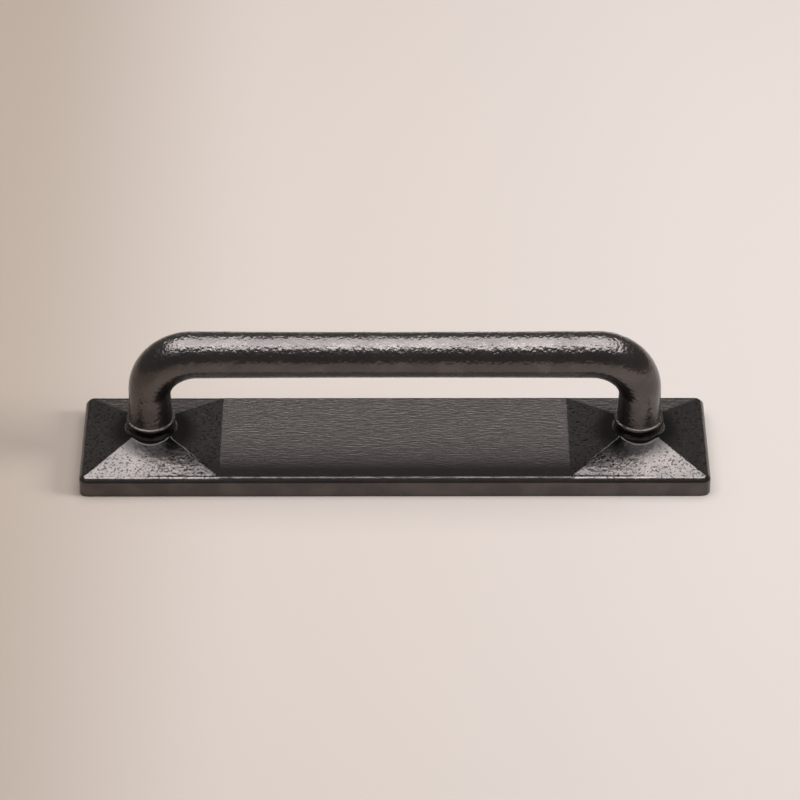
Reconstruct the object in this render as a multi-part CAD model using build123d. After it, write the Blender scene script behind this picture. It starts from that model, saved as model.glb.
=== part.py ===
from build123d import *

import os
from math import atan2, cos, radians, sin, tan

# Bar pull on a backplate, both cast, held to a drawer front by screws from behind.
# Millimetres. X runs along the bar, Y across the plate, Z away from the drawer front.
# The origin is the centre of the plate's back face.

# Fixing: one M4 machine screw up the middle of each leg
screw_spacing = 128.0
screw_hole_diameter = 4.3
tap_drill_diameter = 3.3
tap_depth = 12.0
drill_point_angle = 118.0
tap_mouth_chamfer = 0.4

# Bar: a round grip over the finger gap, a little waisted, two bends that are fullest at the
# knuckle, and legs that widen towards the foot
grip_diameter = 11.8
grip_end_diameter = 12.2
knuckle_diameter = 12.4
finger_gap = 21.0
bend_inner_radius = 6.0
leg_top_diameter = 11.1
leg_foot_diameter = 11.6

# Foot: a collar round the bottom of each leg
collar_step = 0.55
collar_height = 2.0
collar_edge_chamfer = 0.25

# Plate: the flat panel's height, the outline, and how far a pyramid runs either side of its leg
plate_width = 36.6
panel_height = 5.6
pyramid_reach = 18.3
plate_corner_radius = 2.3
plate_edge_radius = 1.3

# Pyramids: the rise from the panel to the seat, how much higher the four faces would meet,
# and the rounding of the ridges
seat_rise = 4.7
tip_overrun = 1.5
ridge_radius = 0.6
foot_crease = 0.12

# Bosses: round seats a step wider than the collars, with a short wall under a chamfered rim,
# and round each a hollow that is sunk a little into the faces
boss_step = 0.15
boss_wall = 0.3
boss_edge_chamfer = 0.2
hollow_sink = 0.3
hollow_lip_angle = 18.0

# Places that follow from the sizes above
leg_x = screw_spacing / 2
plate_length = screw_spacing + 2 * pyramid_reach
half_width = plate_width / 2
seat_height = panel_height + seat_rise
pyramid_tip_height = seat_height + tip_overrun
pyramid_rise = seat_rise + tip_overrun
grip_radius = grip_diameter / 2
grip_end_radius = grip_end_diameter / 2
knuckle_radius = knuckle_diameter / 2
bar_axis_height = panel_height + finger_gap + grip_radius
bend_radius = bend_inner_radius + grip_end_radius
bend_start_height = bar_axis_height - bend_radius
leg_top_radius = leg_top_diameter / 2
leg_foot_radius = leg_foot_diameter / 2
collar_radius = leg_foot_radius + collar_step
collar_top_height = seat_height + collar_height
boss_radius = collar_radius + boss_step
hollow_start_height = seat_height - boss_wall

# A pyramid's faces run out onto the rounded edge of the plate, a little inside the tangent line,
# and are cut off out of sight under the rounding
face_angle = atan2(pyramid_rise, half_width - plate_edge_radius)
face_setback = plate_edge_radius * (1 - tan(face_angle / 2)) + foot_crease
skirt_setback = plate_edge_radius * (1 - sin(face_angle))
reach_in = pyramid_reach
reach_out = pyramid_reach - face_setback
reach_side = half_width - face_setback

# The hollow is a quarter round from the boss wall down, so its depth below the face sets its radius
face_slope = pyramid_rise / reach_side
face_height_at_boss = pyramid_tip_height - boss_radius * face_slope
hollow_radius = (hollow_start_height - face_height_at_boss + hollow_sink) / (1 - face_slope)

# Round stock and holes start at the plate's back face
from_the_back = (Align.CENTER, Align.CENTER, Align.MIN)


def pyramid() -> Part:
    """One pyramid about the leg's axis, with its ridges rounded and its tip cut off at the seat."""
    bottom = panel_height - plate_edge_radius
    top = seat_height

    def scale_at(height: float) -> float:
        return (pyramid_tip_height - height) / pyramid_rise

    low = scale_at(bottom)
    high = scale_at(top)
    along = Polygon(
        (-reach_in * low, bottom),
        (reach_out * low, bottom),
        (reach_out * high, top),
        (-reach_in * high, top),
        align=None,
    )
    across = Polygon(
        (-reach_side * low, bottom),
        (reach_side * low, bottom),
        (reach_side * high, top),
        (-reach_side * high, top),
        align=None,
    )
    solid = extrude(Plane.XZ * along, plate_width, both=True)
    solid &= extrude(Plane.YZ * across, plate_length, both=True)
    level = solid.edges().group_by(Axis.Z)
    ridges = solid.edges() - level[0] - level[-1]
    return fillet(ridges, ridge_radius)


def hollow() -> Part:
    """Ring of metal taken away round a boss: hollow beside the wall, then rising to its outer lip."""
    lip = radians(hollow_lip_angle)
    middle = boss_radius + hollow_radius
    outer = middle + hollow_radius
    lip_start = middle + hollow_radius * sin(lip)
    lip_start_height = hollow_start_height - hollow_radius * cos(lip)
    lip_height = lip_start_height + (outer - lip_start) * tan(lip)
    outline = [
        ThreePointArc(
            (boss_radius, hollow_start_height),
            (middle, hollow_start_height - hollow_radius),
            (lip_start, lip_start_height),
        ),
        Line((lip_start, lip_start_height), (outer, lip_height)),
        Line((outer, lip_height), (outer, pyramid_tip_height)),
        Line((outer, pyramid_tip_height), (boss_radius, pyramid_tip_height)),
        Line((boss_radius, pyramid_tip_height), (boss_radius, hollow_start_height)),
    ]
    return revolve(Plane.XZ * make_face(outline), Axis.Z)


def seat() -> Part:
    """Pyramid with its round boss, which stands clear of the faces in a hollow."""
    stock = Cylinder(boss_radius + hollow_radius, seat_height, align=from_the_back)
    solid = pyramid() + stock - hollow()
    rim = solid.edges().filter_by(GeomType.CIRCLE).group_by(Axis.Z)[-1]
    return chamfer(rim, boss_edge_chamfer)


def make_backplate() -> Part:
    """Cast plate: rounded slab, a pyramid and boss at each end, and the two screw holes."""
    slab = extrude(RectangleRounded(plate_length, plate_width, plate_corner_radius), panel_height)
    slab = fillet(slab.faces().sort_by(Axis.Z)[-1].edges(), plate_edge_radius)
    skirt = RectangleRounded(
        plate_length - 2 * skirt_setback,
        plate_width - 2 * skirt_setback,
        plate_corner_radius - skirt_setback,
    )
    right_end = Pos(leg_x, 0, 0) * seat() & extrude(skirt, seat_height)
    plate = slab + right_end + mirror(right_end, Plane.YZ)
    hole = Cylinder(screw_hole_diameter / 2, seat_height, align=from_the_back)
    return plate - [Pos(side * leg_x, 0, 0) * hole for side in (-1, 1)]


def leg() -> Part:
    """Turned leg about its own axis: collar at the foot, then a slow taper up to the bend."""
    profile = Polygon(
        (0, seat_height),
        (collar_radius, seat_height),
        (collar_radius, collar_top_height),
        (leg_foot_radius, collar_top_height),
        (leg_top_radius, bend_start_height),
        (0, bend_start_height),
        align=None,
    )
    collar_edge = profile.vertices().sort_by_distance((collar_radius, collar_top_height))[0]
    profile = chamfer(collar_edge, collar_edge_chamfer)
    return revolve(Plane.XZ * profile, Axis.Z)


def tapped_hole() -> Part:
    """Blind tapping hole about the leg's axis, with a chamfered mouth and a drill point."""
    radius = tap_drill_diameter / 2
    point = radius / tan(radians(drill_point_angle / 2))
    mouth = radius + tap_mouth_chamfer
    top = seat_height + tap_depth
    profile = Polygon(
        (0, seat_height),
        (mouth, seat_height),
        (radius, seat_height + tap_mouth_chamfer),
        (radius, top),
        (0, top + point),
        align=None,
    )
    return revolve(Plane.XZ * profile, Axis.Z)


def bend() -> Part:
    """Right-hand quarter bend: the leg's section, the knuckle's half way round, then the grip's."""
    path = Plane.XZ * JernArc((leg_x, bend_start_height), (0, 1), bend_radius, 90)
    sections = [
        Plane(path @ place, z_dir=path % place) * Circle(radius)
        for place, radius in ((0, leg_top_radius), (0.5, knuckle_radius), (1, grip_end_radius))
    ]
    return sweep(sections, path, multisection=True)


def grip() -> Part:
    """Grip between the bends, slimmest at mid length."""
    end = leg_x - bend_radius
    outline = [
        ThreePointArc((-end, grip_end_radius), (0, grip_radius), (end, grip_end_radius)),
        Line((end, grip_end_radius), (end, 0)),
        Line((end, 0), (-end, 0)),
        Line((-end, 0), (-end, grip_end_radius)),
    ]
    return revolve(Plane.XZ * make_face(outline), Axis.X)


def make_pull_bar() -> Part:
    """Cast bar with its two bends and legs, tapped from below for the screws."""
    right_end = bend() + Pos(leg_x, 0, 0) * leg() - Pos(leg_x, 0, 0) * tapped_hole()
    return Pos(0, 0, bar_axis_height) * grip() + right_end + mirror(right_end, Plane.YZ)


os.makedirs("parts", exist_ok=True)
export_step(make_backplate(), "parts/backplate.step")
export_step(make_pull_bar(), "parts/pull_bar.step")
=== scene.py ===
"""Looks of a cast bar pull: the bar, its backplate, a pale table top, studio light and the camera.

Lengths are in metres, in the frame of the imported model: X along the bar, Y across the plate and
Z away from the drawer front. Sizes that come from the drawing are written in millimetres times MM.
"""

import logging
import math
from collections.abc import Callable
from dataclasses import dataclass, field
from enum import Enum

import bmesh
import bpy
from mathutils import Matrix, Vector


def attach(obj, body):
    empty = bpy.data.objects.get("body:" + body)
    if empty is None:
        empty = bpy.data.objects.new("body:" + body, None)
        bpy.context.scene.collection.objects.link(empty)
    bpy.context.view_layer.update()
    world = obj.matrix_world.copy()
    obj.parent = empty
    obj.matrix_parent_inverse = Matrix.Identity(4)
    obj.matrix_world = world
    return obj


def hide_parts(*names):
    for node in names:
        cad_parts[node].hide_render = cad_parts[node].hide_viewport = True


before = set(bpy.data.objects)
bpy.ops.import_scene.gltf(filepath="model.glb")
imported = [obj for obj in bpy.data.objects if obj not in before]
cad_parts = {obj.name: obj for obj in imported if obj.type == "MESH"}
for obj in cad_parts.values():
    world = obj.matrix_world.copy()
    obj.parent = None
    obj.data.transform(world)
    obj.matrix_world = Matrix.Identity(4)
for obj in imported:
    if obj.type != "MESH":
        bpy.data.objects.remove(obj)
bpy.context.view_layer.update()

LOG = logging.getLogger("bar_pull")
MM = 0.001
BODY = "root"
QUARTER_TURN = math.pi / 2

# Where the bar and the plate meet: the legs' distance from the middle and the height of the seats
LEG_X = 64.0 * MM
SEAT_HEIGHT = 10.3 * MM

# Upward part of a normal from which a face counts as level, and the same for one that looks down
LEVEL = 0.9
DOWNWARD = -0.7

# Part of its scale that a noise texture really fills
NOISE_SPAN = (0.3, 0.7)

Point = tuple[float, float, float]
Colour = tuple[float, float, float, float]
Element = bmesh.types.BMVert | bmesh.types.BMEdge | bmesh.types.BMFace


class Part(Enum):
    """What an edit-mode selection is made of."""

    VERT = "VERT"
    EDGE = "EDGE"
    FACE = "FACE"


def linear(hex_colour: str) -> Colour:
    """Turn an sRGB hex colour into linear RGBA.

    Args:
        hex_colour: Six hex digits after a hash sign.

    Returns:
        The linear colour with full alpha.
    """
    channels = [int(hex_colour[i : i + 2], 16) / 255 for i in (1, 3, 5)]
    red, green, blue = (
        c / 12.92 if c <= 0.04045 else ((c + 0.055) / 1.055) ** 2.4 for c in channels
    )
    return red, green, blue, 1.0


def clear_selection() -> None:
    """Go to object mode with nothing selected, so that an operator meets only its own piece."""
    active = bpy.context.view_layer.objects.active
    if active is not None and active.mode != "OBJECT":
        bpy.ops.object.mode_set(mode="OBJECT")
    bpy.ops.object.select_all(action="DESELECT")


def work_on(piece: bpy.types.Object) -> None:
    """Select one piece alone, in object mode."""
    clear_selection()
    piece.select_set(True)
    bpy.context.view_layer.objects.active = piece


def new_piece(name: str) -> bpy.types.Object:
    """Name the primitive that was just added and move its place and scale into its mesh.

    Args:
        name: Name of the piece.

    Returns:
        The named piece, at the origin and with unit scale.
    """
    piece = bpy.context.object
    piece.name = name
    piece.data.name = name
    bpy.ops.object.transform_apply(location=True, rotation=True, scale=True)
    return piece


def pick(piece: bpy.types.Object, part: Part, test: Callable[[Element], bool]) -> None:
    """Select, in edit mode, the vertices, edges or faces that pass a test and nothing else.

    Args:
        piece: The piece that is being edited.
        part: What to select.
        test: Says whether an element is wanted.
    """
    if piece.mode != "EDIT":
        work_on(piece)
        bpy.ops.object.mode_set(mode="EDIT")
    bpy.ops.mesh.select_mode(type=part.value)
    bpy.ops.mesh.select_all(action="DESELECT")
    mesh = bmesh.from_edit_mesh(piece.data)
    elements = {Part.VERT: mesh.verts, Part.EDGE: mesh.edges, Part.FACE: mesh.faces}[part]
    for element in elements:
        if test(element):
            element.select_set(True)
    mesh.select_flush_mode()
    bmesh.update_edit_mesh(piece.data)


def extrude(step: Point) -> None:
    """Extrude the selection in edit mode and move it by a step."""
    bpy.ops.mesh.extrude_region_move(TRANSFORM_OT_translate={"value": step})


def widen(scale: Point, about: Point) -> None:
    """Scale the selection in edit mode about a point."""
    bpy.ops.transform.resize(value=scale, center_override=about)


def apply_modifier(piece: bpy.types.Object, kind: str, **settings: object) -> None:
    """Add one modifier to a piece, set it and apply it.

    Args:
        piece: The piece to change.
        kind: Blender's name of the modifier.
        **settings: The modifier's own settings.
    """
    work_on(piece)
    bpy.ops.object.modifier_add(type=kind)
    modifier = piece.modifiers[-1]
    for name, value in settings.items():
        setattr(modifier, name, value)
    bpy.ops.object.modifier_apply(modifier=modifier.name)


def combine(piece: bpy.types.Object, tool: bpy.types.Object, operation: str) -> None:
    """Combine a piece with a tool by a Boolean, and throw the tool away.

    Args:
        piece: The piece that stays.
        tool: The piece that is used up.
        operation: UNION, DIFFERENCE or INTERSECT.
    """
    apply_modifier(piece, "BOOLEAN", object=tool, operation=operation, solver="EXACT")
    bpy.data.objects.remove(tool)


def triangle_count(piece: bpy.types.Object) -> int:
    """Count a piece's triangles."""
    return sum(len(polygon.vertices) - 2 for polygon in piece.data.polygons)


@dataclass(frozen=True)
class CastWave:
    """One size of unevenness that sand leaves on a casting, pressed into the mesh.

    Attributes:
        name: Name of the texture.
        size: Length of a wave.
        depth: Height from its valleys to its crests.
        level: Share of the depth that lies below the drawn surface.
    """

    name: str
    size: float
    depth: float
    level: float = 0.8

    def press(self, piece: bpy.types.Object, group: str) -> None:
        """Push the skin of a piece in and out by this wave.

        Args:
            piece: The piece to change.
            group: Vertex group that says how far each point follows.
        """
        texture = bpy.data.textures.new(self.name, "CLOUDS")
        texture.noise_scale = self.size
        texture.noise_depth = 0
        apply_modifier(
            piece,
            "DISPLACE",
            texture=texture,
            texture_coords="LOCAL",
            strength=self.depth,
            mid_level=self.level,
            vertex_group=group,
        )
        bpy.data.textures.remove(texture)


SKIN = "skin"
CAST_WAVES = (
    CastWave("hand_dressing", size=9.0 * MM, depth=0.06 * MM),
    CastWave("sand_lumps", size=2.2 * MM, depth=0.05 * MM),
    CastWave("sand_dimples", size=1.1 * MM, depth=0.045 * MM),
)


def share_between(value: float, start: float, end: float) -> float:
    """Say how far a value has come from a start to an end, from 0 to 1."""
    return min(max((value - start) / (end - start), 0.0), 1.0)


def press_skin(piece: bpy.types.Object, weight: Callable[[Vector], float]) -> None:
    """Give a piece its cast skin.

    Args:
        piece: The piece to change.
        weight: Says how strong the skin is at a place, from 0 to 1.
    """
    group = piece.vertex_groups.new(name=SKIN)
    for vertex in piece.data.vertices:
        group.add([vertex.index], weight(vertex.co), "REPLACE")
    for wave in CAST_WAVES:
        wave.press(piece, SKIN)
    piece.vertex_groups.clear()


@dataclass
class PullBar:
    """The bar with its bends, legs and collars, drawn as one half and mirrored."""

    node: str = "pull_bar"
    slot: str = "bar_casting"
    leg_x: float = LEG_X
    seat_height: float = SEAT_HEIGHT
    grip_radius: float = 5.98 * MM
    grip_end_radius: float = 6.14 * MM
    knuckle_radius: float = 6.22 * MM
    axis_height: float = 32.45 * MM
    bend_radius: float = 12.1 * MM
    leg_top_radius: float = 5.55 * MM
    leg_foot_radius: float = 5.8 * MM
    collar_radius: float = 6.35 * MM
    collar_height: float = 2.0 * MM
    collar_softening: float = 0.25 * MM
    collar_segments: int = 3
    tap_radius: float = 1.65 * MM
    tap_mouth_radius: float = 2.05 * MM
    tap_depth: float = 12.0 * MM
    drill_point: float = 0.99 * MM
    bend_ease: float = 0.1
    back_share: float = 0.6
    dressed_skin: float = 0.35
    ring_points: int = 124
    spacing: float = 0.3 * MM
    piece: bpy.types.Object = field(init=False)

    @property
    def bend_height(self) -> float:
        """Height at which a leg starts to bend."""
        return self.axis_height - self.bend_radius

    @property
    def collar_top(self) -> float:
        """Height of the collar's upper edge."""
        return self.seat_height + self.collar_height

    def build(self) -> bpy.types.Object:
        """Model the bar.

        Returns:
            The finished piece.
        """
        self._turn_leg()
        self._bend()
        self._draw_grip()
        self._close()
        press_skin(self.piece, self._roughcast)
        work_on(self.piece)
        bpy.ops.object.shade_smooth()
        return self.piece

    def _radius_at(self, place: Vector) -> float:
        """Distance of a place from the right leg's axis."""
        return math.hypot(place.x - self.leg_x, place.y)

    def _roughcast(self, place: Vector) -> float:
        """Strength of the cast skin: full on the bar's back, less below it, none in a hole."""
        radius = math.hypot(abs(place.x) - self.leg_x, place.y)
        tap_end = self.seat_height + self.tap_depth + self.drill_point + self.spacing
        in_hole = place.z < tap_end and radius < 2 * self.tap_radius
        if in_hole or place.z < self.seat_height + self.spacing:
            return 0.0
        back_height = self.axis_height + self.back_share * self.grip_radius
        back = share_between(place.z, self.axis_height, back_height)
        return self.dressed_skin + (1 - self.dressed_skin) * back

    def _ring_edge(self, edge: bmesh.types.BMEdge, radius: float, height: float) -> bool:
        """Whether an edge lies on a ring about the right leg's axis."""
        near = self.spacing / 10
        return all(
            abs(self._radius_at(v.co) - radius) < near and abs(v.co.z - height) < near
            for v in edge.verts
        )

    def _turn_leg(self) -> None:
        """Draw the right leg up from its tapped hole, ring by ring."""
        clear_selection()
        tap_top = self.seat_height + self.tap_depth
        bpy.ops.mesh.primitive_circle_add(
            vertices=self.ring_points,
            radius=self.tap_radius,
            fill_type="TRIFAN",
            location=(self.leg_x, 0.0, tap_top),
        )
        self.piece = new_piece("cast_pull_bar")
        pick(self.piece, Part.VERT, lambda v: self._radius_at(v.co) < self.tap_radius / 2)
        bpy.ops.transform.translate(value=(0.0, 0.0, self.drill_point))
        pick(self.piece, Part.EDGE, lambda e: self._ring_edge(e, self.tap_radius, tap_top))
        rings = [
            (self.tap_radius, self.seat_height + self.tap_mouth_radius - self.tap_radius),
            (self.tap_mouth_radius, self.seat_height),
            (self.collar_radius, self.seat_height),
            (self.collar_radius, self.collar_top),
            (self.leg_foot_radius, self.collar_top),
        ]
        run = self.bend_height - self.collar_top
        steps = round(run / self.spacing)
        for step in range(1, steps + 1):
            share = step / steps
            radius = self.leg_top_radius
            radius += (self.leg_foot_radius - self.leg_top_radius) * (1 - share) ** 2
            rings.append((radius, self.collar_top + share * run))
        radius, height = self.tap_radius, tap_top
        for new_radius, new_height in rings:
            extrude((0.0, 0.0, new_height - height))
            scale = new_radius / radius
            widen((scale, scale, 1.0), (self.leg_x, 0.0, new_height))
            radius, height = new_radius, new_height

    def _bend_section(self, share: float) -> float:
        """Radius at a share of the bend's turn: the leg's, then the knuckle's, then the grip's."""
        share = (1 + self.bend_ease) * share**2 / (share + self.bend_ease)
        curve = 2 * (self.leg_top_radius + self.grip_end_radius) - 4 * self.knuckle_radius
        rise = self.grip_end_radius - self.leg_top_radius - curve
        return self.leg_top_radius + rise * share + curve * share**2

    def _bend(self) -> None:
        """Spin the leg's top ring round the bend and let it swell on the way."""
        steps = round(QUARTER_TURN * self.bend_radius / self.spacing)
        centre = Vector((self.leg_x - self.bend_radius, 0.0, self.bend_height))
        radius = self.leg_top_radius
        for step in range(1, steps + 1):
            bpy.ops.mesh.spin(
                steps=1, angle=QUARTER_TURN / steps, center=centre, axis=(0.0, 1.0, 0.0)
            )
            turn = step / steps * QUARTER_TURN
            new_radius = self._bend_section(step / steps)
            reach = Vector((math.cos(turn), 0.0, math.sin(turn))) * self.bend_radius
            scale = new_radius / radius
            widen((scale, scale, scale), tuple(centre + reach))
            radius = new_radius

    def _draw_grip(self) -> None:
        """Draw the waisted grip to the middle, ring by ring, and soften the collar."""
        run = self.leg_x - self.bend_radius
        steps = round(run / self.spacing)
        radius = self.grip_end_radius
        for step in range(1, steps + 1):
            share = 1 - step / steps
            extrude((-run / steps, 0.0, 0.0))
            new_radius = self.grip_radius + (self.grip_end_radius - self.grip_radius) * share**2
            scale = new_radius / radius
            widen((1.0, scale, scale), (run * share, 0.0, self.axis_height))
            radius = new_radius
        pick(
            self.piece,
            Part.EDGE,
            lambda e: self._ring_edge(e, self.collar_radius, self.collar_top)
            or self._ring_edge(e, self.leg_foot_radius, self.collar_top),
        )
        bpy.ops.mesh.bevel(
            offset=self.collar_softening, segments=self.collar_segments, affect="EDGES"
        )

    def _close(self) -> None:
        """Mirror the half, weld the middle ring and turn every face outwards."""
        apply_modifier(
            self.piece, "MIRROR", use_axis=(True, False, False), merge_threshold=self.spacing / 10
        )
        pick(self.piece, Part.VERT, lambda v: True)
        bpy.ops.mesh.remove_doubles(threshold=self.spacing / 100)
        bpy.ops.mesh.normals_make_consistent(inside=False)
        clear_selection()


@dataclass
class Backplate:
    """The plate: a rounded slab with a pyramid at each end, out of which a round seat grows."""

    node: str = "backplate"
    slot: str = "plate_casting"
    leg_x: float = LEG_X
    length: float = 164.6 * MM
    width: float = 36.6 * MM
    panel_height: float = 5.6 * MM
    corner_radius: float = 2.3 * MM
    corner_segments: int = 10
    edge_radius: float = 1.2 * MM
    edge_profile: float = 0.3
    edge_segments: int = 8
    seat_height: float = SEAT_HEIGHT
    tip_height: float = 10.7 * MM
    pyramid_reach: float = 18.3 * MM
    face_setback: float = 1.6 * MM
    skirt_setback: float = 0.92 * MM
    ridge_width: float = 0.17 * MM
    ridge_segments: int = 4
    boss_radius: float = 6.4 * MM
    flare_radius: float = 7.0 * MM
    flare_rings: int = 14
    flare_smoothing: float = 0.5
    screw_radius: float = 2.15 * MM
    draw_in: float = 0.015 * MM
    panel_skin: float = 0.2
    face_skin: float = 0.8
    skin_run: float = 1.5 * MM
    ring_points: int = 96
    voxel: float = 0.31 * MM
    piece: bpy.types.Object = field(init=False)

    def build(self) -> bpy.types.Object:
        """Model the plate.

        Returns:
            The finished piece.
        """
        self.piece = self._slab(
            "cast_backplate", self.draw_in, self.panel_height, self.corner_radius
        )
        self._round_top_edge()
        for side in (-1, 1):
            combine(self.piece, self._pyramid(side), "UNION")
            combine(self.piece, self._boss(side), "UNION")
            combine(self.piece, self._screw_hole(side), "DIFFERENCE")
        apply_modifier(self.piece, "REMESH", mode="VOXEL", voxel_size=self.voxel, adaptivity=0.0)
        self._flatten_back()
        self._blend_flares()
        press_skin(self.piece, self._roughcast)
        work_on(self.piece)
        bpy.ops.object.shade_smooth()
        return self.piece

    def _axis_distance(self, place: Vector) -> float:
        """Distance of a place from the nearer leg's axis."""
        return math.hypot(abs(place.x) - self.leg_x, place.y)

    def _roughcast(self, place: Vector) -> float:
        """Strength of the cast skin: strong on the faces, little on the panel and walls."""
        if place.z < 2 * self.voxel or self._axis_distance(place) < self.screw_radius + self.voxel:
            return 0.0
        panel_end = self.leg_x - self.pyramid_reach
        along = share_between(abs(place.x), panel_end, panel_end + self.skin_run)
        up = share_between(place.z, self.panel_height - self.edge_radius, self.panel_height)
        return self.panel_skin + (self.face_skin - self.panel_skin) * along * up

    def _slab(self, name: str, inset: float, height: float, corner: float) -> bpy.types.Object:
        """Make a block with the plate's outline and rounded corners.

        Args:
            name: Name of the block.
            inset: How far its sides stand inside the plate's.
            height: Its height above the back.
            corner: Radius of its upright corners.

        Returns:
            The block.
        """
        clear_selection()
        bpy.ops.mesh.primitive_cube_add(
            size=1.0,
            location=(0.0, 0.0, height / 2),
            scale=(self.length - 2 * inset, self.width - 2 * inset, height),
        )
        block = new_piece(name)
        pick(block, Part.EDGE, lambda e: abs(e.verts[0].co.z - e.verts[1].co.z) > height / 2)
        bpy.ops.mesh.bevel(offset=corner, segments=self.corner_segments, affect="EDGES")
        clear_selection()
        return block

    def _round_top_edge(self) -> None:
        """Round the slab's upper edge all the way round."""
        pick(
            self.piece,
            Part.EDGE,
            lambda e: all(v.co.z > self.panel_height / 2 for v in e.verts),
        )
        bpy.ops.mesh.bevel(
            offset=self.edge_radius,
            segments=self.edge_segments,
            profile=self.edge_profile,
            affect="EDGES",
        )
        clear_selection()

    def _pyramid(self, side: int) -> bpy.types.Object:
        """Make one pyramid, cut off at the seat and kept within the slab's rounding.

        Args:
            side: -1 for the left end, 1 for the right.

        Returns:
            The pyramid.
        """
        rise = self.tip_height - self.panel_height
        bottom = self.panel_height - self.edge_radius
        low = (self.tip_height - bottom) / rise
        high = (self.tip_height - self.seat_height) / rise
        reach_out = self.pyramid_reach - self.face_setback
        reach_side = self.width / 2 - self.face_setback
        centre_x = self.leg_x + low * (reach_out - self.pyramid_reach) / 2
        clear_selection()
        bpy.ops.mesh.primitive_cube_add(
            size=1.0,
            location=(side * centre_x, 0.0, (bottom + self.seat_height) / 2),
            scale=(
                low * (reach_out + self.pyramid_reach),
                low * 2 * reach_side,
                self.seat_height - bottom,
            ),
        )
        pyramid = new_piece("pyramid")
        pick(pyramid, Part.FACE, lambda f: f.normal.z > LEVEL)
        widen((high / low, high / low, 1.0), (side * self.leg_x, 0.0, self.seat_height))
        pick(pyramid, Part.EDGE, lambda e: abs(e.verts[0].co.z - e.verts[1].co.z) > rise / 4)
        bpy.ops.mesh.bevel(offset=self.ridge_width, segments=self.ridge_segments, affect="EDGES")
        clear_selection()
        skirt = self._slab(
            "skirt",
            self.skirt_setback,
            2 * self.seat_height,
            self.corner_radius - self.skirt_setback,
        )
        combine(pyramid, skirt, "INTERSECT")
        return pyramid

    def _boss(self, side: int) -> bpy.types.Object:
        """Make one round seat, which flares into the faces at its foot.

        Args:
            side: -1 for the left end, 1 for the right.

        Returns:
            The seat.
        """
        rise = self.tip_height - self.panel_height
        slope = rise / (self.width / 2 - self.face_setback)
        foot = self.tip_height - slope * self.flare_radius
        run = self.flare_radius - self.boss_radius
        curve = (self.seat_height - foot - slope * run) / run**2
        bottom = self.panel_height / 2
        clear_selection()
        bpy.ops.mesh.primitive_cylinder_add(
            vertices=self.ring_points,
            radius=self.flare_radius,
            depth=foot - bottom,
            location=(side * self.leg_x, 0.0, (foot + bottom) / 2),
        )
        boss = new_piece("boss")
        pick(boss, Part.FACE, lambda f: f.normal.z > LEVEL)
        radius, height = self.flare_radius, foot
        for ring in range(1, self.flare_rings + 1):
            inward = run * ring / self.flare_rings
            new_height = foot + slope * inward + curve * inward**2
            extrude((0.0, 0.0, new_height - height))
            scale = (self.flare_radius - inward) / radius
            widen((scale, scale, 1.0), (side * self.leg_x, 0.0, new_height))
            radius, height = self.flare_radius - inward, new_height
        clear_selection()
        return boss

    def _screw_hole(self, side: int) -> bpy.types.Object:
        """Make the drill that clears one screw hole."""
        clear_selection()
        bpy.ops.mesh.primitive_cylinder_add(
            vertices=self.ring_points,
            radius=self.screw_radius,
            depth=3 * self.seat_height,
            location=(side * self.leg_x, 0.0, self.seat_height / 2),
        )
        return new_piece("drill")

    def _blend_flares(self) -> None:
        """Smooth the faces round each seat, so that it grows out of them without a crease."""
        inner = self.boss_radius + self.voxel
        outer = self.flare_radius + self.voxel
        pick(
            self.piece,
            Part.VERT,
            lambda v: v.co.z > self.panel_height + self.voxel
            and inner < self._axis_distance(v.co) < outer,
        )
        bpy.ops.mesh.vertices_smooth(factor=self.flare_smoothing, repeat=1)
        clear_selection()

    def _flatten_back(self) -> None:
        """Replace the fine mesh on the flat back by a few large faces."""
        pick(
            self.piece,
            Part.FACE,
            lambda f: f.calc_center_median().z < self.voxel and f.normal.z < DOWNWARD,
        )
        bpy.ops.mesh.delete(type="FACE")
        pick(self.piece, Part.EDGE, lambda e: e.is_boundary)
        widen((1.0, 1.0, 0.0), (0.0, 0.0, 0.0))
        bpy.ops.mesh.fill(use_beauty=True)
        pick(self.piece, Part.VERT, lambda v: True)
        bpy.ops.mesh.normals_make_consistent(inside=False)
        clear_selection()


def add_node(
    tree: bpy.types.NodeTree,
    kind: str,
    settings: dict[str, object] | None = None,
    inputs: dict[str | int, object] | None = None,
) -> bpy.types.Node:
    """Add one shader node with its settings, and set or link its inputs.

    Args:
        tree: The tree that gets the node.
        kind: Blender's class name of the node.
        settings: Properties of the node.
        inputs: Values of its sockets, or output sockets to link to them.

    Returns:
        The node.
    """
    node = tree.nodes.new(kind)
    for name, value in (settings or {}).items():
        setattr(node, name, value)
    for name, value in (inputs or {}).items():
        if isinstance(value, bpy.types.NodeSocket):
            tree.links.new(value, node.inputs[name])
        else:
            node.inputs[name].default_value = value
    return node


def set_ramp(node: bpy.types.Node, stops: list[tuple[float, Colour]]) -> None:
    """Set the stops of a colour ramp.

    Args:
        node: The ramp.
        stops: Places from 0 to 1, each with a linear colour.
    """
    node.color_ramp.interpolation = "EASE"
    elements = node.color_ramp.elements
    while len(elements) < len(stops):
        elements.new(0.5)
    for element, (place, colour) in zip(elements, stops):
        element.position = place
        element.color = colour


def colour_along(
    tree: bpy.types.NodeTree,
    place: bpy.types.NodeSocket,
    shades: tuple[tuple[float, str], ...],
) -> bpy.types.NodeSocket:
    """Colour a surface by its place along one axis.

    Args:
        tree: The material's tree.
        place: The coordinate along that axis.
        shades: Colours from one end to the other, each with its place.

    Returns:
        The colour.
    """
    start, end = shades[0][0], shades[-1][0]
    share = add_node(
        tree,
        "ShaderNodeMapRange",
        inputs={"Value": place, "From Min": start, "From Max": end},
    ).outputs["Result"]
    ramp = add_node(tree, "ShaderNodeValToRGB", inputs={"Fac": share})
    set_ramp(ramp, [((at - start) / (end - start), linear(shade)) for at, shade in shades])
    return ramp.outputs["Color"]


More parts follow.
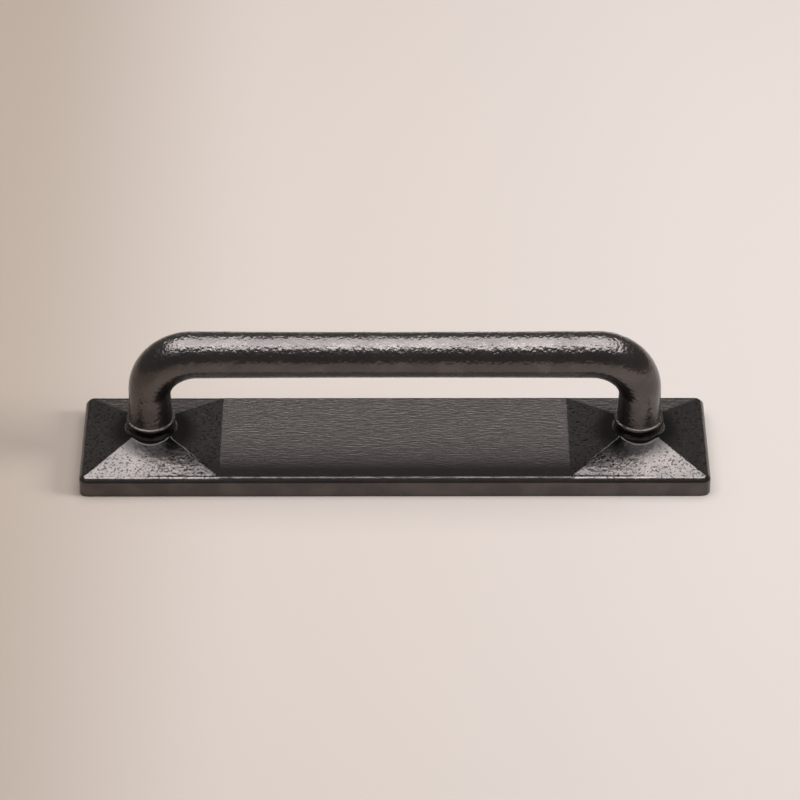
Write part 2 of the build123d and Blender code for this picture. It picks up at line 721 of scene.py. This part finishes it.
def new_material(name: str) -> bpy.types.Material:
    """Make a material with an empty node tree."""
    material = bpy.data.materials.new(name)
    material.use_nodes = True
    material.node_tree.nodes.clear()
    return material


@dataclass(frozen=True)
class Surface:
    """The sockets that make up one kind of metal surface.

    Attributes:
        colour: Its colour.
        roughness: Its roughness.
        height: Height of its fine relief, in metres.
    """

    colour: bpy.types.NodeSocket
    roughness: bpy.types.NodeSocket
    height: bpy.types.NodeSocket


@dataclass(frozen=True)
class WaxedCastIron:
    """Sand-cast iron, blackened and waxed: near black, with a soft sheen under a clear gloss.

    The metal gives the eye a broad dim glow round each reflection, and the wax over it a crisp
    one, which the sand's dimples break into scallops and flecks. Clouds of thicker and thinner
    blacking keep the tone from being even.

    Attributes:
        name: Name of the material.
        body_colour: Colour of most of the metal.
        thin_colour: Colour where the blacking is thin.
        roughness: Roughness of the metal.
        roughness_spread: Share by which thick blacking is rougher and thin blacking smoother.
        wax_weight: Share of the metal that the wax covers.
        wax_roughness: Roughness of the wax.
        cloud_size: Breadth of a cloud in the blacking.
        cloud_range: Strength of the clouds at which the blacking starts to thin, and is thin.
        dimple_size: Breadth of the finest dimples, which are only bumped.
        dimple_depth: Their depth.
        dressed_share: Share of that depth which dressing left.
        dressed_below: Height above the back below which they were dressed down.
        cast_above: Height from which they have their full depth.
    """

    name: str
    body_colour: str = "#4c4746"
    thin_colour: str = "#585250"
    roughness: float = 0.29
    roughness_spread: float = 0.1
    wax_weight: float = 0.65
    wax_roughness: float = 0.1
    cloud_size: float = 7.0 * MM
    cloud_range: tuple[float, float] = (0.4, 0.65)
    dimple_size: float = 0.9 * MM
    dimple_depth: float = 0.22 * MM
    dressed_share: float = 0.4
    dressed_below: float = 32.0 * MM
    cast_above: float = 37.0 * MM

    def make(self) -> bpy.types.Material:
        """Make the material.

        Returns:
            The material.
        """
        material = new_material(self.name)
        tree = material.node_tree
        place = add_node(tree, "ShaderNodeTexCoord").outputs["Object"]
        surface = self._surface(tree, place)
        bump = add_node(
            tree,
            "ShaderNodeBump",
            inputs={"Strength": 1.0, "Distance": 1.0, "Height": surface.height},
        ).outputs["Normal"]
        shader = add_node(
            tree,
            "ShaderNodeBsdfPrincipled",
            inputs={
                "Base Color": surface.colour,
                "Metallic": 1.0,
                "Roughness": surface.roughness,
                "Normal": bump,
                "Coat Weight": self.wax_weight,
                "Coat Roughness": self.wax_roughness,
                "Coat Normal": bump,
            },
        )
        add_node(tree, "ShaderNodeOutputMaterial", inputs={"Surface": shader.outputs["BSDF"]})
        return material

    def dress(self, piece: bpy.types.Object) -> None:
        """Put the material on a piece."""
        piece.data.materials.clear()
        piece.data.materials.append(self.make())

    def _surface(self, tree: bpy.types.NodeTree, place: bpy.types.NodeSocket) -> Surface:
        """Lay out the cast skin.

        Args:
            tree: The material's tree.
            place: Object coordinates.

        Returns:
            The skin's sockets.
        """
        clouds = add_node(
            tree,
            "ShaderNodeTexNoise",
            inputs={"Vector": place, "Scale": 1 / self.cloud_size, "Detail": 4.0},
        ).outputs["Fac"]
        colour = add_node(tree, "ShaderNodeValToRGB", inputs={"Fac": clouds})
        shades = (linear(self.body_colour), linear(self.thin_colour))
        set_ramp(colour, list(zip(self.cloud_range, shades)))
        roughness = add_node(
            tree,
            "ShaderNodeMapRange",
            inputs={
                "Value": clouds,
                "From Min": NOISE_SPAN[0],
                "From Max": NOISE_SPAN[1],
                "To Min": (1 + self.roughness_spread) * self.roughness,
                "To Max": (1 - self.roughness_spread) * self.roughness,
            },
        ).outputs["Result"]
        dimples = add_node(
            tree,
            "ShaderNodeTexNoise",
            inputs={"Vector": place, "Scale": 1 / self.dimple_size, "Detail": 1.0},
        ).outputs["Fac"]
        up = add_node(tree, "ShaderNodeSeparateXYZ", inputs={"Vector": place}).outputs["Z"]
        depth = add_node(
            tree,
            "ShaderNodeMapRange",
            inputs={
                "Value": up,
                "From Min": self.dressed_below,
                "From Max": self.cast_above,
                "To Min": self.dressed_share * self.dimple_depth,
                "To Max": self.dimple_depth,
            },
        ).outputs["Result"]
        relief = add_node(
            tree, "ShaderNodeMath", {"operation": "MULTIPLY"}, {0: dimples, 1: depth}
        ).outputs["Value"]
        return Surface(colour.outputs["Color"], roughness, relief)


@dataclass(frozen=True)
class GroundCastIron(WaxedCastIron):
    """The same casting with its middle panel ground along its length before it was blacked.

    The eye gets a lighter, duller band with fine streaks that run lengthwise, so that it glows
    evenly where the cast faces beside it are either bright or dark. Painted shade darkens the
    band along its near edge and the faces round each foot, under the bar.

    Attributes:
        panel_half_length: Half the length of the ground panel.
        panel_bottom: Height of the panel's lower limit, above which it was ground.
        soft_edge: Run over which one finish goes over into the next.
        rubbed_colour: Colour that rubbing has added to the faces above the walls.
        pit_and_shade_colour: Colour of the sand's pits, which hold blacking, and of the painted
            shade round each foot.
        pit_size: Breadth of the pits.
        pit_range: Strength of the noise at which a pit starts, and is full.
        shade_x: Place of the painted shade under the bar round each foot, a little towards the
            panel.
        shade_inside: Distance from that place within which the painted shade is darkest.
        shade_outside: Distance at which the painted shade has faded out.
        ground_tone_and_shade: Colours across the panel, each with its place along Y: its own
            ground tone, darkened by painted shade along the near edge, under the bar.
        ground_roughness: Roughness of the ground panel.
        streak_size: Length and breadth of a grinding streak.
        streak_depth: Depth of the streaks.
    """

    roughness: float = 0.24
    wax_weight: float = 0.4
    dimple_depth: float = 0.045 * MM
    dressed_below: float = 4.5 * MM
    cast_above: float = 6.0 * MM
    panel_half_length: float = 45.7 * MM
    panel_bottom: float = 5.2 * MM
    soft_edge: float = 0.2 * MM
    rubbed_colour: str = "#2a2827"
    pit_and_shade_colour: str = "#1e1c1b"
    pit_size: float = 0.65 * MM
    pit_range: tuple[float, float] = (0.52, 0.64)
    # Painted shade round each foot, where the bar's dark reflection falls on the faces
    shade_x: float = 63.4 * MM
    shade_inside: float = 8.0 * MM
    shade_outside: float = 13.5 * MM
    # The panel's own ground tone, with painted shade towards the near edge under the bar
    ground_tone_and_shade: tuple[tuple[float, str], ...] = (
        (-17.0 * MM, "#3f3a39"),
        (-8.0 * MM, "#575150"),
        (2.0 * MM, "#5d5755"),
    )
    ground_roughness: float = 0.36
    streak_size: tuple[float, float] = (2.2 * MM, 0.42 * MM)
    streak_depth: float = 0.1 * MM

    def _surface(self, tree: bpy.types.NodeTree, place: bpy.types.NodeSocket) -> Surface:
        """Lay out the cast skin with the ground panel let into it."""
        cast = super()._surface(tree, place)
        axes = add_node(tree, "ShaderNodeSeparateXYZ", inputs={"Vector": place}).outputs
        along = add_node(
            tree, "ShaderNodeMath", {"operation": "ABSOLUTE"}, {0: axes["X"]}
        ).outputs["Value"]
        plan = add_node(
            tree, "ShaderNodeCombineXYZ", inputs={"X": along, "Y": axes["Y"]}
        ).outputs["Vector"]
        above = add_node(
            tree,
            "ShaderNodeMapRange",
            inputs={
                "Value": axes["Z"],
                "From Min": self.panel_bottom,
                "From Max": self.panel_bottom + self.soft_edge,
            },
        ).outputs["Result"]
        panel = add_node(
            tree,
            "ShaderNodeMapRange",
            inputs={
                "Value": along,
                "From Min": self.panel_half_length + self.soft_edge,
                "From Max": self.panel_half_length - self.soft_edge,
                "To Max": above,
            },
        ).outputs["Result"]
        # A mix node keeps its number sockets at 2 and 3 and its colour sockets at 6 and 7
        colour = cast.colour
        # Layers: rubbing lightens the faces above the walls; the pits go dark, with painted shade
        # round each foot; the panel takes its ground tone, with painted shade along its near edge
        for blend, share, layer in (
            ("ADD", above, linear(self.rubbed_colour)),
            ("MIX", self._blacking_and_shade(tree, place, plan, above), linear(self.pit_and_shade_colour)),
            ("MIX", panel, colour_along(tree, axes["Y"], self.ground_tone_and_shade)),
        ):
            colour = add_node(
                tree,
                "ShaderNodeMix",
                {"data_type": "RGBA", "blend_type": blend},
                {0: share, 6: colour, 7: layer},
            ).outputs[2]
        roughness = add_node(
            tree, "ShaderNodeMix", inputs={0: panel, 2: cast.roughness, 3: self.ground_roughness}
        ).outputs[0]
        height = add_node(
            tree, "ShaderNodeMix", inputs={0: panel, 2: cast.height, 3: self._streaks(tree, place)}
        ).outputs[0]
        return Surface(colour, roughness, height)

    def _blacking_and_shade(
        self,
        tree: bpy.types.NodeTree,
        place: bpy.types.NodeSocket,
        plan: bpy.types.NodeSocket,
        above: bpy.types.NodeSocket,
    ) -> bpy.types.NodeSocket:
        """Find where the colour darkens: blacking in the pits, and painted shade round each foot.

        Args:
            tree: The material's tree.
            place: Object coordinates.
            plan: Place in plan, with both ends of the plate folded onto one.
            above: Share of the pits that shows, none on the walls.

        Returns:
            How dark it gets, from 0 to 1.
        """
        pits = add_node(
            tree,
            "ShaderNodeTexNoise",
            inputs={"Vector": place, "Scale": 1 / self.pit_size, "Detail": 2.0},
        ).outputs["Fac"]
        pit_start, pit_full = self.pit_range
        pitted = add_node(
            tree,
            "ShaderNodeMapRange",
            inputs={"Value": pits, "From Min": pit_start, "From Max": pit_full, "To Max": above},
        ).outputs["Result"]
        # Painted shade round each foot, a little towards the panel, under the bar
        distance_from_shade = add_node(
            tree,
            "ShaderNodeVectorMath",
            {"operation": "DISTANCE"},
            {0: plan, 1: (self.shade_x, 0.0, 0.0)},
        ).outputs["Value"]
        painted_shade = add_node(
            tree,
            "ShaderNodeMapRange",
            {"interpolation_type": "SMOOTHSTEP"},
            {"Value": distance_from_shade, "From Min": self.shade_outside, "From Max": self.shade_inside},
        ).outputs["Result"]
        return add_node(
            tree, "ShaderNodeMath", {"operation": "MAXIMUM"}, {0: pitted, 1: painted_shade}
        ).outputs["Value"]

    def _streaks(
        self, tree: bpy.types.NodeTree, place: bpy.types.NodeSocket
    ) -> bpy.types.NodeSocket:
        """Lay out the relief of the grinding streaks.

        Args:
            tree: The material's tree.
            place: Object coordinates.

        Returns:
            The relief's height.
        """
        length, breadth = self.streak_size
        stretched = add_node(
            tree,
            "ShaderNodeMapping",
            inputs={"Vector": place, "Scale": (breadth / length, 1.0, 1.0)},
        ).outputs["Vector"]
        streaks = add_node(
            tree,
            "ShaderNodeTexNoise",
            inputs={"Vector": stretched, "Scale": 1 / breadth, "Detail": 2.0},
        ).outputs["Fac"]
        return add_node(
            tree, "ShaderNodeMath", {"operation": "MULTIPLY"}, {0: streaks, 1: self.streak_depth}
        ).outputs["Value"]


@dataclass(frozen=True)
class LimewashedBoard:
    """Table top under a coat of limewash: matt, warm and pale, with painted brown shade on the
    left.

    Attributes:
        name: Name of the material.
        roughness: Its roughness.
        gleam: Strength of its faint reflection.
        shades: Colours from the left of the picture to the right, each with its place along X:
            painted brown shade on the left, an even pale board from the middle on.
    """

    name: str = "limewashed_board"
    roughness: float = 0.9
    gleam: float = 0.1
    shades: tuple[tuple[float, str], ...] = (
        # The left stop is painted shade; the board is evenly pale from the middle on
        (-118.0 * MM, "#81766d"),
        (-30.0 * MM, "#948c87"),
        (104.0 * MM, "#97908c"),
    )

    def make(self) -> bpy.types.Material:
        """Make the material.

        Returns:
            The material.
        """
        material = new_material(self.name)
        tree = material.node_tree
        place = add_node(tree, "ShaderNodeTexCoord").outputs["Object"]
        along = add_node(tree, "ShaderNodeSeparateXYZ", inputs={"Vector": place}).outputs["X"]
        shader = add_node(
            tree,
            "ShaderNodeBsdfPrincipled",
            inputs={
                "Base Color": colour_along(tree, along, self.shades),
                "Roughness": self.roughness,
                "Specular IOR Level": self.gleam,
            },
        )
        add_node(tree, "ShaderNodeOutputMaterial", inputs={"Surface": shader.outputs["BSDF"]})
        return material


@dataclass(frozen=True)
class Lamp:
    """One soft box.

    Attributes:
        name: Name of the lamp.
        place: Middle of its face.
        aim: What it points at.
        size: Its length and breadth.
        radiance: Brightness of its face, where 1 is the white of the picture.
        mirrored: Whether the metal shows it.
    """

    name: str
    place: Point
    aim: Point
    size: tuple[float, float]
    radiance: float
    mirrored: bool = True

    def hang(self) -> None:
        """Hang the lamp."""
        clear_selection()
        bpy.ops.object.light_add(type="AREA", location=self.place)
        lamp = bpy.context.object
        lamp.name = self.name
        lamp.data.shape = "RECTANGLE"
        lamp.data.size, lamp.data.size_y = self.size
        lamp.data.energy = self.radiance * math.pi * self.size[0] * self.size[1]
        aim = Vector(self.aim) - Vector(self.place)
        lamp.rotation_euler = aim.to_track_quat("-Z", "Y").to_euler()
        lamp.visible_camera = False
        lamp.visible_glossy = self.mirrored


@dataclass
class Studio:
    """Table top, lamps, dim room and camera."""

    floor_size: float = 6.0
    floor_front: float = -0.285
    room_colour: str = "#767371"
    camera_place: Point = (0.0, -0.8638, 0.6664)
    camera_aim: Point = (0.00137, 0.00866, 0.01124)
    lens: float = 185.85
    lamps: tuple[Lamp, ...] = (
        Lamp(
            "overhead_soft_box",
            place=(0.0, 0.122, 0.7),
            aim=(0.0, 0.122, 0.0),
            size=(1.09, 0.84),
            radiance=4.2,
        ),
        Lamp(
            "side_soft_box",
            place=(1.5, -0.2, 0.8),
            aim=(0.0, 0.0, 0.0),
            size=(0.6, 0.6),
            radiance=42.0,
            mirrored=False,
        ),
        Lamp(
            "strip_lamp",
            place=(0.0, -0.08, 0.69),
            aim=(0.0, -0.08, 0.0),
            size=(0.9, 0.05),
            radiance=7.0,
        ),
    )

    def build(self) -> None:
        """Lay the table top, hang the lamps, dim the room and place the camera."""
        self._lay_floor()
        for lamp in self.lamps:
            lamp.hang()
        self._dim_room()
        self._place_camera()
        bpy.context.scene.view_settings.view_transform = "Standard"

    def _lay_floor(self) -> None:
        """Lay the table top in two boards, of which the metal shows only the one it lies on."""
        limewash = LimewashedBoard().make()
        half = self.floor_size / 2
        for name, near, far, mirrored in (
            ("table_top", self.floor_front, half, True),
            ("table_front", -half, self.floor_front, False),
        ):
            clear_selection()
            bpy.ops.mesh.primitive_plane_add(size=self.floor_size, location=(0.0, 0.0, 0.0))
            board = new_piece(name)
            pick(board, Part.VERT, lambda v: v.co.y < 0.0)
            bpy.ops.transform.translate(value=(0.0, near + half, 0.0))
            pick(board, Part.VERT, lambda v: v.co.y > 0.0)
            bpy.ops.transform.translate(value=(0.0, far - half, 0.0))
            clear_selection()
            board.data.materials.append(limewash)
            board.visible_glossy = mirrored

    def _dim_room(self) -> None:
        """Give the room round the table a dim even light."""
        world = bpy.data.worlds.new("dim_room")
        world.use_nodes = True
        background = world.node_tree.nodes["Background"]
        background.inputs["Color"].default_value = linear(self.room_colour)
        bpy.context.scene.world = world

    def _place_camera(self) -> None:
        """Place the camera at the photograph's angle."""
        clear_selection()
        bpy.ops.object.camera_add(location=self.camera_place)
        camera = bpy.context.object
        camera.data.lens = self.lens
        aim = Vector(self.camera_aim) - Vector(self.camera_place)
        camera.rotation_euler = aim.to_track_quat("-Z", "Y").to_euler()
        bpy.context.scene.camera = camera


def main() -> None:
    """Build the pull, dress it and set up the studio."""
    logging.basicConfig(level=logging.INFO, format="%(name)s: %(message)s")
    for part, finish in (
        (PullBar(), WaxedCastIron("waxed_cast_iron_bar")),
        (Backplate(), GroundCastIron("waxed_cast_iron_plate")),
    ):
        piece = part.build()
        finish.dress(piece)
        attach(piece, BODY)
        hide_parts(part.node)
        LOG.info("%s: %d triangles", piece.name, triangle_count(piece))
    Studio().build()


if __name__ == "__main__":
    main()
